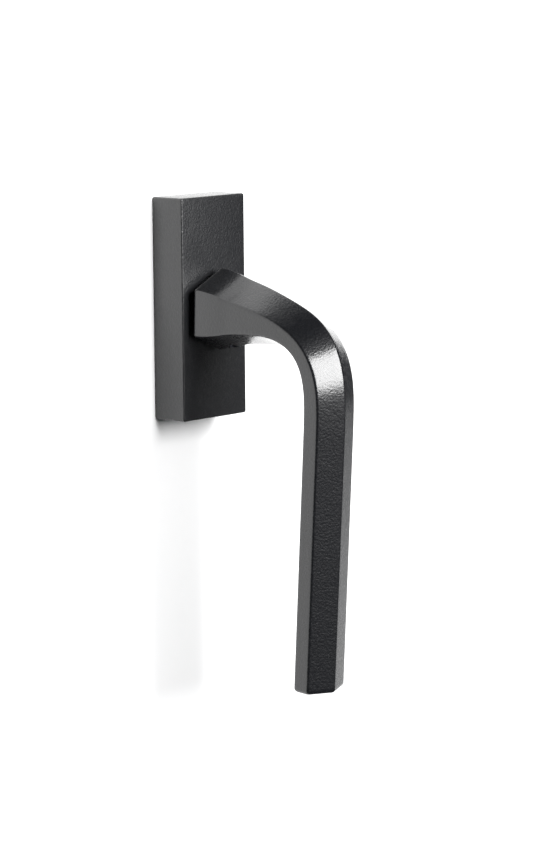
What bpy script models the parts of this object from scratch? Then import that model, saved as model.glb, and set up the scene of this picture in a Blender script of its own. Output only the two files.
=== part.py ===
"""Tilt-and-turn window handle: a plain rectangular rosette and a lever of flattened hexagonal bar.

World frame: the origin is on the spindle's axis, in the face that lies on the sash. +Y goes into the
sash, -Y into the room, +X is right as seen from the room and +Z is up. The handle is closed: it points down.

Everything is modelled in a front frame and turned into the world by two empties: X is right, Y is up
and Z is the height above the sash.
"""

import math

import bmesh
import bpy
from mathutils import Matrix, Vector

MM = 0.001

# Rosette
ROSETTE_WIDTH = 28.5 * MM
ROSETTE_HEIGHT = 70.0 * MM
ROSETTE_DEPTH = 12.5 * MM
COVER_WALL = 1.5 * MM
COVER_CORNER = 0.8 * MM
COVER_EDGE = 0.5 * MM
BASE_DEPTH = 8.9 * MM
BASE_FLOOR = 2.4 * MM
BASE_CORNER = 0.8 * MM

# Interface with the sash
SCREW_SPACING = 43.0 * MM
BOSS_RADIUS = 5.0 * MM
BOSS_LENGTH = 9.0 * MM
FIXING_SCREW_RADIUS = 2.5 * MM
FIXING_SCREW_LENGTH = 45.0 * MM
FIXING_HEAD_RADIUS = 4.6 * MM
FIXING_RECESS_DEPTH = 2.0 * MM
SPINDLE_SIDE = 7.0 * MM
SPINDLE_REACH = 38.0 * MM
SPINDLE_CHAMFER = 0.4 * MM

# Detent
HUB_WALL = 0.84 * MM
HUB_LEDGE = 2.0 * MM
HUB_DISC_BACK = 4.2 * MM
HUB_DISC_FRONT = 8.2 * MM
HUB_NOTCHES = 4
NOTCH_RADIUS = 1.85 * MM
NOTCH_DEPTH = 0.8 * MM
BALL_RADIUS = 1.6 * MM
SPRING_RADIUS = 1.15 * MM
SPRING_WIRE = 0.225 * MM
SPRING_TURNS = 5
WAVE_HEIGHT = 0.4 * MM
WAVE_THICKNESS = 0.4 * MM
WAVES = 3
WASHER_THICKNESS = 0.45 * MM
PIN_RADIUS = 1.0 * MM
PIN_INSET = 0.2 * MM
PIN_CHAMFER = 0.2 * MM

# Retaining plate and its screws
PLATE_THICKNESS = 0.9 * MM
PLATE_MARGIN = 2.9 * MM
RETAINER_RADIUS = 1.25 * MM
RETAINER_HEAD_RADIUS = 2.2 * MM
RETAINER_LENGTH = 6.0 * MM
RETAINER_TAPER = 0.3 * MM
RETAINER_RECESS_DEPTH = 0.7 * MM
RETAINER_STEP = 4.1 * MM  # from the hub's pocket to the screws' height

# Collar between the rosette and the lever
COLLAR_WALL = 2.5 * MM
BUSH_WALL = 1.1 * MM
BUSH_FLANGE = 0.5 * MM
BUSH_FLANGE_THICKNESS = 0.35 * MM
BUSH_RECESS = 0.1 * MM

# Snap ribs that hold the cover on the base
RIB_LENGTH = 8.0 * MM
RIB_HEIGHT = 0.9 * MM
RIB_WIDTH = 0.8 * MM
RIB_RISE = 3.0 * MM

# Lever, measured in its plane of symmetry: the height above the sash first, then up
ROOT_HEIGHT = 14.4 * MM
ROOT_DROP = 0.7 * MM
NECK_END_HEIGHT = 27.4 * MM
NECK_END_DROP = 1.3 * MM
GRIP_HEIGHT = 60.4 * MM
GRIP_START_DROP = 28.7 * MM
LEVER_DROP = 116.3 * MM
GRIP_TILT = math.radians(3.25)
BEND_REACH_OUT = 20.0 * MM
BEND_REACH_DOWN = 24.0 * MM
SECTION_EDGE = 1.1 * MM
END_EDGE = 1.4 * MM

# Lever sections from the root to the grip. Each has its place on the path (0 root, 1 neck's end, 2 grip's
# start), half the width over the side flats, half the height of a side flat, and how far the top and the
# bottom ridge stand over the flats. Past the bend, top means the room side and bottom the sash side.
LEVER_SECTIONS = (
    (0.0, 12.0 * MM, 7.5 * MM, 6.1 * MM, 5.3 * MM),
    (0.5, 11.9 * MM, 6.7 * MM, 6.0 * MM, 4.5 * MM),
    (1.0, 11.3 * MM, 5.2 * MM, 5.9 * MM, 4.1 * MM),
    (1.3, 10.5 * MM, 2.9 * MM, 5.0 * MM, 4.2 * MM),
    (1.6, 9.6 * MM, 2.3 * MM, 5.0 * MM, 4.7 * MM),
    (2.0, 8.6 * MM, 2.85 * MM, 3.7 * MM, 3.7 * MM),
)

# Set screw that holds the lever on the spindle
SET_SCREW_RADIUS = 1.9 * MM
SET_SCREW_LENGTH = 8.0 * MM
SET_SCREW_HEIGHT = 21.0 * MM
SET_SCREW_HEX = 2.0 * MM
SET_SCREW_HEX_DEPTH = 2.5 * MM
SET_SCREW_CONE = 1.0 * MM

# Clearances
REST_GAP = 0.3 * MM
FIT_GAP = 0.15 * MM
HUB_CLEARANCE = 0.4 * MM
BORE_END_WALL = 0.1 * MM
PAST = 1.0 * MM  # how far a cutter runs past the face it opens

# Places and sizes that follow from the values above
HUB_SQUARE = SPINDLE_SIDE + 2 * FIT_GAP
JOURNAL_RADIUS = HUB_SQUARE / math.sqrt(2) + HUB_WALL
DISC_RADIUS = JOURNAL_RADIUS + HUB_LEDGE
POCKET_RADIUS = DISC_RADIUS + HUB_CLEARANCE
BALL_HEIGHT = (HUB_DISC_BACK + HUB_DISC_FRONT) / 2
BALL_PLACE = DISC_RADIUS + BALL_RADIUS + FIT_GAP
BALL_BORE_RADIUS = BALL_RADIUS + FIT_GAP
BALL_BORE_END = SCREW_SPACING / 2 - FIXING_HEAD_RADIUS - BORE_END_WALL
BASE_WIDTH = ROSETTE_WIDTH - 2 * (COVER_WALL + REST_GAP)
BASE_HEIGHT = ROSETTE_HEIGHT - 2 * (COVER_WALL + REST_GAP)
FIXING_HEAD_TOP = BASE_DEPTH - REST_GAP
PLATE_BACK = BASE_DEPTH + REST_GAP
PLATE_FRONT = PLATE_BACK + PLATE_THICKNESS
PLATE_HOLE_RADIUS = JOURNAL_RADIUS + HUB_CLEARANCE
WASHER_INNER = JOURNAL_RADIUS + HUB_CLEARANCE
RETAINER_X = BASE_WIDTH / 2 - PLATE_MARGIN
RETAINER_Y = POCKET_RADIUS + RETAINER_STEP
BUSH_BACK = PLATE_FRONT + REST_GAP
COVER_FACE_BACK = ROSETTE_DEPTH - COVER_WALL
COLLAR_BACK = COVER_FACE_BACK
HUB_FRONT = COLLAR_BACK - REST_GAP
PIN_HEIGHT = HUB_FRONT - PIN_RADIUS - PIN_INSET
COLLAR_RADIUS = JOURNAL_RADIUS + COLLAR_WALL
BUSH_INNER = COLLAR_RADIUS + REST_GAP
BUSH_OUTER = BUSH_INNER + BUSH_WALL
COVER_HOLE_RADIUS = BUSH_OUTER + REST_GAP
SPINDLE_FRONT = NECK_END_HEIGHT
RIB_PLACE = BASE_HEIGHT / 2 - RIB_LENGTH

FRONT_FRAME = Matrix.Rotation(math.radians(90), 4, "X")
ALONG_X = Matrix.Rotation(math.radians(90), 4, "Y")
ALONG_Y = Matrix.Rotation(math.radians(-90), 4, "X")
DOWNWARD = Matrix.Rotation(math.radians(90), 4, "X")


# ---------------------------------------------------------------- scene and materials


def clear_scene():
    for obj in list(bpy.data.objects):
        bpy.data.objects.remove(obj)


def new_collection(name):
    collection = bpy.data.collections.new(name)
    bpy.context.scene.collection.children.link(collection)
    return collection


def new_empty(name, collection):
    empty = bpy.data.objects.new(name, None)
    empty.empty_display_size = 20 * MM
    empty.matrix_world = FRONT_FRAME
    collection.objects.link(empty)
    return empty


def new_material(name, colour, metallic, roughness):
    material = bpy.data.materials.new(name)
    material.use_nodes = True
    shader = material.node_tree.nodes["Principled BSDF"]
    shader.inputs["Base Color"].default_value = (*colour, 1.0)
    shader.inputs["Metallic"].default_value = metallic
    shader.inputs["Roughness"].default_value = roughness
    material.diffuse_color = (*colour, 1.0)
    return material


clear_scene()
PARTS = new_collection("window_handle")
CUTTERS = new_collection("cutters")
ROSETTE = new_empty("rosette_frame", PARTS)
HANDLE = new_empty("handle_axis", PARTS)

FINISHES = {
    "lever_coating": ((0.022, 0.024, 0.027), 0.0, 0.42),
    "cover_coating": ((0.022, 0.024, 0.027), 0.0, 0.48),
    "zinc_casting": ((0.46, 0.47, 0.48), 1.0, 0.5),
    "plated_steel": ((0.62, 0.64, 0.67), 1.0, 0.3),
    "spindle_steel": ((0.55, 0.56, 0.58), 1.0, 0.35),
    "bearing_steel": ((0.7, 0.7, 0.72), 1.0, 0.12),
    "spring_steel": ((0.42, 0.42, 0.43), 1.0, 0.35),
    "black_nylon": ((0.018, 0.018, 0.02), 0.0, 0.5),
    "white_acetal": ((0.75, 0.75, 0.72), 0.0, 0.4),
    "black_screw_steel": ((0.05, 0.05, 0.055), 1.0, 0.45),
}


# ---------------------------------------------------------------- mesh helpers


def mesh_object(name, shape, place=None, collection=CUTTERS):
    """The bmesh as an object, with its place written into its mesh."""
    if place is not None:
        shape.transform(place)
    mesh = bpy.data.meshes.new(name)
    shape.to_mesh(mesh)
    shape.free()
    obj = bpy.data.objects.new(name, mesh)
    collection.objects.link(obj)
    return obj


def part(obj, name, finish, parent):
    """Makes the object a sub-part: its name, its own material, its parent and its shading."""
    if obj.name not in PARTS.objects:
        CUTTERS.objects.unlink(obj)
        PARTS.objects.link(obj)
    obj.name = name
    obj.parent = parent
    obj.data.materials.clear()
    obj.data.materials.append(new_material(f"{name}_{finish}", *FINISHES[finish]))
    if obj.type == "MESH":
        obj.data.shade_smooth()
        obj.data.set_sharp_from_angle(angle=math.radians(30))
    return obj


def boolean(target, tool, operation):
    modifier = target.modifiers.new(f"{operation.lower()}_{tool.name}", "BOOLEAN")
    modifier.operation = operation
    modifier.solver = "EXACT"
    modifier.object = tool
    tool.parent = target.parent
    tool.hide_render = True
    tool.display_type = "WIRE"


def cut(target, *tools):
    for tool in tools:
        boolean(target, tool, "DIFFERENCE")


def add(target, *tools):
    for tool in tools:
        boolean(target, tool, "UNION")


def block(name, low, high, corner=0.0, front_edge=0.0):
    """A box between two corners, with rounded upright corners and rounded front edges where asked."""
    low, high = Vector(low), Vector(high)
    shape = bmesh.new()
    bmesh.ops.create_cube(shape, size=1.0)
    bmesh.ops.scale(shape, vec=high - low, verts=shape.verts)
    bmesh.ops.translate(shape, vec=(low + high) / 2, verts=shape.verts)
    if corner:
        upright = [edge for edge in shape.edges if abs(edge.verts[0].co.z - edge.verts[1].co.z) > MM / 10]
        bmesh.ops.bevel(shape, geom=upright, offset=corner, segments=3, affect="EDGES", profile=0.5)
    if front_edge:
        rim = [edge for edge in shape.edges if all(vert.co.z > high.z - MM / 10 for vert in edge.verts)]
        bmesh.ops.bevel(shape, geom=rim, offset=front_edge, segments=2, affect="EDGES", profile=0.5)
    return mesh_object(name, shape)


def rod(name, radius, low, high, sides=24, turn=None, centre=(0, 0, 0)):
    """A cylinder from low to high along Z, which turn may point another way, moved to centre."""
    shape = bmesh.new()
    bmesh.ops.create_cone(
        shape, cap_ends=True, segments=sides, radius1=radius, radius2=radius, depth=high - low
    )
    bmesh.ops.translate(shape, vec=(0, 0, (low + high) / 2), verts=shape.verts)
    return mesh_object(name, shape, Matrix.Translation(centre) @ (turn or Matrix.Identity(4)))


def turned(name, profile, steps, ring=False, turn=None, centre=(0, 0, 0)):
    """A profile of (radius, z) points turned about Z. The points run down the outer side; a ring's close on themselves."""
    shape = bmesh.new()
    points = [shape.verts.new((radius, 0, z)) for radius, z in profile]
    for start, end in zip(points, points[1:]):
        shape.edges.new((start, end))
    if ring:
        shape.edges.new((points[-1], points[0]))
    obj = mesh_object(name, shape)
    screw = obj.modifiers.new("turn", "SCREW")
    screw.axis = "Z"
    screw.steps = steps
    screw.render_steps = steps
    screw.use_merge_vertices = True
    screw.merge_threshold = 0.00001
    bpy.context.view_layer.update()
    made = bpy.data.meshes.new_from_object(obj.evaluated_get(bpy.context.evaluated_depsgraph_get()))
    obj.modifiers.clear()
    made.transform(Matrix.Translation(centre) @ (turn or Matrix.Identity(4)))
    made.name = name
    old = obj.data
    obj.data = made
    bpy.data.meshes.remove(old)
    return obj


def countersunk(radius, head_radius, top, length, taper=0.0):
    """Profile of a countersunk screw, or of the hole for one: a 90 degree head, then a shank with a tapered tip."""
    cone = head_radius - radius
    return (
        (0, top),
        (head_radius, top),
        (radius, top - cone),
        (radius, top - length + taper),
        (radius - taper, top - length),
        (0, top - length),
    )


def countersunk_hole(radius, head_radius, top, length, gap):
    """Profile of the tool for a countersunk screw's hole: a gap all round, and open past both faces."""
    return countersunk(radius + gap, head_radius + gap + PAST, top + PAST, length + 3 * PAST)


def cross_recess(name, x, y, top, span, depth):
    """The tool for a screw head's cross recess: two crossed bars, joined."""
    half, thin = span / 2, span / 8
    bar = block(name, (x - half, y - thin, top - depth), (x + half, y + thin, top + PAST))
    other = block(f"{name}_bar", (x - thin, y - half, top - depth), (x + thin, y + half, top + PAST))
    add(bar, other)
    return bar


# ---------------------------------------------------------------- rosette


def base_plate():
    half_x, half_y = BASE_WIDTH / 2, BASE_HEIGHT / 2
    plate = block("base_plate", (-half_x, -half_y, 0), (half_x, half_y, BASE_DEPTH), corner=BASE_CORNER)
    part(plate, "base_plate", "zinc_casting", ROSETTE)
    for end, side in (("upper", 1), ("lower", -1)):
        y = side * SCREW_SPACING / 2
        add(plate, rod(f"boss_{end}", BOSS_RADIUS, -BOSS_LENGTH, BASE_FLOOR, centre=(0, y, 0)))
    rear_bore = rod("rear_bore", JOURNAL_RADIUS + REST_GAP, -PAST, BASE_FLOOR + PAST, sides=40)
    hub_pocket = rod("hub_pocket", POCKET_RADIUS, BASE_FLOOR, BASE_DEPTH + PAST, sides=40)
    ball_bore = rod(
        "ball_bore",
        BALL_BORE_RADIUS,
        -BALL_BORE_END,
        BALL_BORE_END,
        sides=16,
        turn=ALONG_Y,
        centre=(0, 0, BALL_HEIGHT),
    )
    cut(plate, rear_bore, hub_pocket, ball_bore)
    for end, side in (("upper", 1), ("lower", -1)):
        hole = countersunk_hole(
            FIXING_SCREW_RADIUS, FIXING_HEAD_RADIUS, FIXING_HEAD_TOP, BASE_DEPTH + BOSS_LENGTH, REST_GAP
        )
        cut(plate, turned(f"fixing_hole_{end}", hole, 24, centre=(0, side * SCREW_SPACING / 2, 0)))
    for number, (x, y) in enumerate(retainer_places(), 1):
        cut(plate, rod(f"tapped_hole_{number}", RETAINER_RADIUS + FIT_GAP, BASE_FLOOR, BASE_DEPTH + PAST,
                       sides=16, centre=(x, y, 0)))
    for number, (x_side, y_side) in enumerate(corners(), 1):
        cut(plate, snap_rib(f"rib_slot_{number}", x_side, y_side, REST_GAP))


def corners():
    return [(x_side, y_side) for y_side in (1, -1) for x_side in (-1, 1)]


def retainer_places():
    return [(x_side * RETAINER_X, y_side * RETAINER_Y) for x_side, y_side in corners()]


def snap_rib(name, x_side, y_side, room):
    """One rib inside the cover's long wall or, with room around it, the slot for it in the base."""
    wall = ROSETTE_WIDTH / 2 - COVER_WALL
    x = sorted((x_side * (wall - RIB_WIDTH - room), x_side * (wall + COVER_WALL / 2)))
    y = y_side * RIB_PLACE
    low = (x[0], y - RIB_LENGTH / 2 - room, RIB_RISE - room)
    high = (x[1], y + RIB_LENGTH / 2 + room, RIB_RISE + RIB_HEIGHT + room)
    return block(name, low, high)


def rosette_cover():
    half_x, half_y = ROSETTE_WIDTH / 2, ROSETTE_HEIGHT / 2
    cover = block(
        "rosette_cover",
        (-half_x, -half_y, 0),
        (half_x, half_y, ROSETTE_DEPTH),
        corner=COVER_CORNER,
        front_edge=COVER_EDGE,
    )
    part(cover, "rosette_cover", "cover_coating", ROSETTE)
    inside = block(
        "cover_inside",
        (-half_x + COVER_WALL, -half_y + COVER_WALL, -PAST),
        (half_x - COVER_WALL, half_y - COVER_WALL, COVER_FACE_BACK),
        corner=BASE_CORNER / 2,
    )
    hole = rod("cover_hole", COVER_HOLE_RADIUS, COVER_FACE_BACK - PAST, ROSETTE_DEPTH + PAST, sides=48)
    cut(cover, inside, hole)
    for number, (x_side, y_side) in enumerate(corners(), 1):
        add(cover, snap_rib(f"snap_rib_{number}", x_side, y_side, 0.0))


def cover_bush():
    front = ROSETTE_DEPTH - BUSH_RECESS
    flange_front = BUSH_BACK + BUSH_FLANGE_THICKNESS
    flange_radius = COVER_HOLE_RADIUS + BUSH_FLANGE
    profile = (
        (BUSH_INNER, front),
        (BUSH_OUTER, front),
        (BUSH_OUTER, flange_front),
        (flange_radius, flange_front),
        (flange_radius, BUSH_BACK),
        (BUSH_INNER, BUSH_BACK),
    )
    part(turned("cover_bush", profile, 48, ring=True), "cover_bush", "black_nylon", ROSETTE)


def fixing_screws():
    top = FIXING_HEAD_TOP
    profile = countersunk(
        FIXING_SCREW_RADIUS, FIXING_HEAD_RADIUS, top, FIXING_SCREW_LENGTH, taper=FIXING_SCREW_RADIUS / 3
    )
    for end, side in (("upper", 1), ("lower", -1)):
        y = side * SCREW_SPACING / 2
        screw = turned(f"fixing_screw_{end}", profile, 20, centre=(0, y, 0))
        part(screw, f"fixing_screw_{end}", "plated_steel", ROSETTE)
        cut(screw, cross_recess(f"fixing_recess_{end}", 0, y, top, FIXING_HEAD_RADIUS, FIXING_RECESS_DEPTH))


def hub_retaining_plate():
    half_x = BASE_WIDTH / 2 - REST_GAP
    half_y = RETAINER_Y + PLATE_MARGIN
    plate = block(
        "hub_retaining_plate", (-half_x, -half_y, PLATE_BACK), (half_x, half_y, PLATE_FRONT), corner=BASE_CORNER
    )
    part(plate, "hub_retaining_plate", "plated_steel", ROSETTE)
    cut(plate, rod("plate_hole", PLATE_HOLE_RADIUS, PLATE_BACK - PAST, PLATE_FRONT + PAST, sides=40))
    hole = countersunk_hole(RETAINER_RADIUS, RETAINER_HEAD_RADIUS, PLATE_FRONT, PLATE_THICKNESS, FIT_GAP)
    for number, (x, y) in enumerate(retainer_places(), 1):
        cut(plate, turned(f"plate_screw_hole_{number}", hole, 16, centre=(x, y, 0)))


def retainer_screws():
    profile = countersunk(
        RETAINER_RADIUS, RETAINER_HEAD_RADIUS, PLATE_FRONT, RETAINER_LENGTH, taper=RETAINER_TAPER
    )
    for number, (x, y) in enumerate(retainer_places(), 1):
        screw = turned(f"retainer_screw_{number}", profile, 16, centre=(x, y, 0))
        part(screw, f"retainer_screw_{number}", "plated_steel", ROSETTE)
        cut(screw, cross_recess(f"retainer_recess_{number}", x, y, PLATE_FRONT, RETAINER_HEAD_RADIUS,
                                RETAINER_RECESS_DEPTH))


# ---------------------------------------------------------------- detent


def detent_hub():
    rear = REST_GAP
    profile = (
        (0, HUB_FRONT),
        (JOURNAL_RADIUS, HUB_FRONT),
        (JOURNAL_RADIUS, HUB_DISC_FRONT),
        (DISC_RADIUS, HUB_DISC_FRONT),
        (DISC_RADIUS, HUB_DISC_BACK),
        (JOURNAL_RADIUS, HUB_DISC_BACK),
        (JOURNAL_RADIUS, rear),
        (0, rear),
    )
    hub = part(turned("detent_hub", profile, 40), "detent_hub", "zinc_casting", HANDLE)
    half = HUB_SQUARE / 2
    cut(hub, block("hub_square", (-half, -half, rear - PAST), (half, half, HUB_FRONT + PAST)))
    for number in range(HUB_NOTCHES):
        turn = Matrix.Rotation(2 * math.pi * number / HUB_NOTCHES, 4, "Z")
        centre = turn @ Vector((0, DISC_RADIUS - NOTCH_DEPTH + NOTCH_RADIUS, 0))
        cut(hub, rod(f"hub_notch_{number + 1}", NOTCH_RADIUS, HUB_DISC_BACK - PAST, HUB_DISC_FRONT + PAST,
                     sides=16, centre=centre))
    cut(hub, pin_bore("hub_pin_bore"))


def pin_bore(name):
    reach = JOURNAL_RADIUS + PAST
    return rod(name, PIN_RADIUS + FIT_GAP, -reach, reach, sides=16, turn=ALONG_X, centre=(0, 0, PIN_HEIGHT))


def wave_washer():
    """A ring of spring steel, bent into waves and given its thickness by Solidify."""
    middle = (BASE_FLOOR + HUB_DISC_BACK) / 2
    shape = bmesh.new()
    bmesh.ops.create_circle(shape, segments=36, radius=DISC_RADIUS - FIT_GAP)
    made = bmesh.ops.extrude_edge_only(shape, edges=shape.edges[:])["geom"]
    inner = [item for item in made if isinstance(item, bmesh.types.BMVert)]
    share = WASHER_INNER / (DISC_RADIUS - FIT_GAP)
    bmesh.ops.scale(shape, vec=(share, share, 1), verts=inner)
    for vert in shape.verts:
        vert.co.z = middle + WAVE_HEIGHT * math.cos(WAVES * math.atan2(vert.co.y, vert.co.x))
    bmesh.ops.recalc_face_normals(shape, faces=shape.faces)
    washer = part(mesh_object("wave_washer", shape), "wave_washer", "spring_steel", ROSETTE)
    solidify = washer.modifiers.new("thickness", "SOLIDIFY")
    solidify.thickness = WAVE_THICKNESS
    solidify.offset = 0


def thrust_washer():
    middle = (HUB_DISC_FRONT + PLATE_BACK) / 2
    inner, outer = WASHER_INNER, DISC_RADIUS - FIT_GAP
    top, bottom = middle + WASHER_THICKNESS / 2, middle - WASHER_THICKNESS / 2
    profile = ((inner, top), (outer, top), (outer, bottom), (inner, bottom))
    part(turned("thrust_washer", profile, 40, ring=True), "thrust_washer", "white_acetal", ROSETTE)


def detent_balls():
    for end, side in (("upper", 1), ("lower", -1)):
        shape = bmesh.new()
        bmesh.ops.create_uvsphere(shape, u_segments=16, v_segments=10, radius=BALL_RADIUS)
        ball = part(mesh_object(f"detent_ball_{end}", shape), f"detent_ball_{end}", "bearing_steel", ROSETTE)
        ball.location = (0, side * BALL_PLACE, BALL_HEIGHT)


def detent_springs():
    near = BALL_PLACE + BALL_RADIUS + REST_GAP + SPRING_WIRE
    far = BALL_BORE_END - REST_GAP - SPRING_WIRE
    steps = 9
    for end, side in (("upper", 1), ("lower", -1)):
        curve = bpy.data.curves.new(f"detent_spring_{end}", "CURVE")
        curve.dimensions = "3D"
        curve.bevel_depth = SPRING_WIRE
        curve.bevel_resolution = 1
        curve.use_fill_caps = True
        coil = curve.splines.new("POLY")
        count = SPRING_TURNS * steps + 1
        coil.points.add(count - 1)
        for number, point in enumerate(coil.points):
            angle = 2 * math.pi * number / steps
            along = near + (far - near) * number / (count - 1)
            x, z = SPRING_RADIUS * math.cos(angle), BALL_HEIGHT + SPRING_RADIUS * math.sin(angle)
            point.co = (x, side * along, z, 1)
        spring = bpy.data.objects.new(f"detent_spring_{end}", curve)
        PARTS.objects.link(spring)
        part(spring, f"detent_spring_{end}", "spring_steel", ROSETTE)


# ---------------------------------------------------------------- spindle


def spindle():
    half = SPINDLE_SIDE / 2
    bar = part(
        block("spindle", (-half, -half, -SPINDLE_REACH), (half, half, SPINDLE_FRONT)),
        "spindle",
        "spindle_steel",
        HANDLE,
    )
    chamfer = bar.modifiers.new("chamfer", "BEVEL")
    chamfer.width = SPINDLE_CHAMFER
    chamfer.segments = 1
    cut(bar, pin_bore("spindle_pin_bore"))


def spindle_pin():
    half = JOURNAL_RADIUS - PIN_INSET
    tip = PIN_RADIUS - PIN_CHAMFER
    full = half - PIN_CHAMFER
    profile = ((0, half), (tip, half), (PIN_RADIUS, full), (PIN_RADIUS, -full), (tip, -half), (0, -half))
    pin = turned("spindle_pin", profile, 16, turn=ALONG_X, centre=(0, 0, PIN_HEIGHT))
    part(pin, "spindle_pin", "bearing_steel", HANDLE)


# ---------------------------------------------------------------- lever


def lever_path(place):
    """Point and direction, as (height, up), at a place: 0 root, 1 neck's end, 2 grip's start, 3 grip's end."""
    root = Vector((ROOT_HEIGHT, -ROOT_DROP))
    neck_end = Vector((NECK_END_HEIGHT, -NECK_END_DROP))
    grip_start = Vector((GRIP_HEIGHT, -GRIP_START_DROP))
    outward = (neck_end - root).normalized()
    downward = Vector((-math.sin(GRIP_TILT), -math.cos(GRIP_TILT)))
    if place <= 1:
        return root.lerp(neck_end, place), outward
    if place <= 2:
        along, left = place - 1, 2 - place
        first = neck_end + outward * BEND_REACH_OUT
        second = grip_start - downward * BEND_REACH_DOWN
        point = (neck_end * left**3 + first * 3 * along * left**2
                 + second * 3 * along**2 * left + grip_start * along**3)
        slope = ((first - neck_end) * left**2 + (second - first) * 2 * along * left
                 + (grip_start - second) * along**2)
        return point, slope.normalized()
    length = (LEVER_DROP - GRIP_START_DROP) / math.cos(GRIP_TILT)
    return grip_start + downward * length * (place - 2), downward


def lever_section(place):
    """Half width, half flat and both ridges' rises at a place, on smooth curves through LEVER_SECTIONS."""
    stations = LEVER_SECTIONS
    if place >= stations[-1][0]:
        return stations[-1][1:]
    index = max(i for i, station in enumerate(stations) if station[0] <= place)
    before, start = stations[max(index - 1, 0)], stations[index]
    end, after = stations[index + 1], stations[min(index + 2, len(stations) - 1)]
    span = end[0] - start[0]
    t = (place - start[0]) / span
    sizes = []
    for axis in range(1, len(start)):
        rise_in = (end[axis] - before[axis]) / (end[0] - before[0]) * span
        rise_out = (after[axis] - start[axis]) / (after[0] - start[0]) * span
        if index == 0:
            rise_in = end[axis] - start[axis]
        if index + 2 >= len(stations):
            rise_out = 0.0
        sizes.append(
            start[axis] * (2 * t**3 - 3 * t**2 + 1)
            + rise_in * (t**3 - 2 * t**2 + t)
            + end[axis] * (3 * t**2 - 2 * t**3)
            + rise_out * (t**3 - t**2)
        )
    return sizes


def hexagon(half_width, half_flat, top_rise, bottom_rise, inset):
    """A flattened hexagon as (x, normal) points, anticlockwise, each corner rounded by three points."""
    tips = []
    for side, rise in ((1, top_rise), (-1, bottom_rise)):
        slope = math.atan2(rise, half_width)
        flat_end = half_flat - inset * (1 - math.sin(slope)) / math.cos(slope)
        ridge = flat_end + (half_width - inset) * math.tan(slope)
        tips += [
            Vector((side * (half_width - inset), side * flat_end)),
            Vector((0, side * ridge)),
            Vector((side * (inset - half_width), side * flat_end)),
        ]
    points = []
    for before, tip, after in zip(tips[-1:] + tips[:-1], tips, tips[1:] + tips[:1]):
        back, on = (before - tip).normalized(), (after - tip).normalized()
        half_angle = back.angle(on) / 2
        centre = tip + (back + on).normalized() * SECTION_EDGE / math.sin(half_angle)
        points += [
            tip + back * SECTION_EDGE / math.tan(half_angle),
            centre + (tip - centre).normalized() * SECTION_EDGE,
            tip + on * SECTION_EDGE / math.tan(half_angle),
        ]
    return points


def lever_places():
    """(place, inset) of each ring: rounded ends, and closer rings where the bend is."""
    rim = END_EDGE / (NECK_END_HEIGHT - ROOT_HEIGHT)
    tip = END_EDGE / (LEVER_DROP - GRIP_START_DROP)
    ends_in = [(0.0, END_EDGE), (rim / 3, END_EDGE / 3), (rim, 0.0)]
    neck = [(number / 4, 0.0) for number in range(1, 4)]
    bend = [(1 + number / 16, 0.0) for number in range(17)]
    grip = [(2.5, 0.0), (3 - tip, 0.0), (3 - tip / 3, END_EDGE / 3), (3.0, END_EDGE)]
    return ends_in + neck + bend + grip


def lever():
    shape = bmesh.new()
    rings = []
    for place, inset in lever_places():
        (height, up), (out, rise) = lever_path(place)
        ring = []
        for x, normal in hexagon(*lever_section(place), inset):
            ring.append(shape.verts.new((x, up + normal * out, height - normal * rise)))
        rings.append(ring)
    for near, far in zip(rings, rings[1:]):
        for index in range(len(near)):
            following = (index + 1) % len(near)
            shape.faces.new((near[index], near[following], far[following], far[index]))
    shape.faces.new(rings[0])
    shape.faces.new(rings[-1][::-1])
    bmesh.ops.recalc_face_normals(shape, faces=shape.faces)
    bar = part(mesh_object("lever", shape), "lever", "lever_coating", HANDLE)
    collar = rod("lever_collar", COLLAR_RADIUS, COLLAR_BACK, ROOT_HEIGHT + 2 * MM, sides=40)
    add(bar, collar)
    half = HUB_SQUARE / 2
    socket = block("spindle_socket", (-half, -half, COLLAR_BACK - PAST), (half, half, SPINDLE_FRONT + REST_GAP))
    reach = LEVER_SECTIONS[0][2] + LEVER_SECTIONS[0][4] + ROOT_DROP + 2 * PAST
    screw_hole = rod("set_screw_hole", SET_SCREW_RADIUS + REST_GAP, 0, reach, sides=20,
                     turn=DOWNWARD, centre=(0, 0, SET_SCREW_HEIGHT))
    cut(bar, socket, screw_hole)


def lever_set_screw():
    """A grub screw in the neck's underside, its cone point against the spindle and its hexagon downwards."""
    point = SPINDLE_SIDE / 2 + REST_GAP
    outer = point + SET_SCREW_LENGTH
    profile = (
        (0, outer),
        (SET_SCREW_RADIUS, outer),
        (SET_SCREW_RADIUS, point + SET_SCREW_CONE),
        (SET_SCREW_RADIUS - SET_SCREW_CONE, point),
        (0, point),
    )
    place = (0, 0, SET_SCREW_HEIGHT)
    screw = turned("lever_set_screw", profile, 20, turn=DOWNWARD, centre=place)
    part(screw, "lever_set_screw", "black_screw_steel", HANDLE)
    across = SET_SCREW_HEX / math.cos(math.pi / 6) / 2
    cut(screw, rod("set_screw_hexagon", across, outer - SET_SCREW_HEX_DEPTH, outer + PAST, sides=6,
                   turn=DOWNWARD, centre=place))


base_plate()
wave_washer()
thrust_washer()
hub_retaining_plate()
retainer_screws()
detent_balls()
detent_springs()
rosette_cover()
cover_bush()
fixing_screws()
detent_hub()
spindle()
spindle_pin()
lever()
lever_set_screw()
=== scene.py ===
"""Looks of the tilt-and-turn window handle: a black powder-coated bar lever on a plain rosette.

The row frame is used throughout, in metres: +Y goes into the sash, -Y into the room, +X is right as seen
from the room and +Z is up. The origin is on the spindle's axis, in the face that lies on the sash.
"""

import math

import bmesh
import bpy
from mathutils import Matrix, Vector


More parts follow.
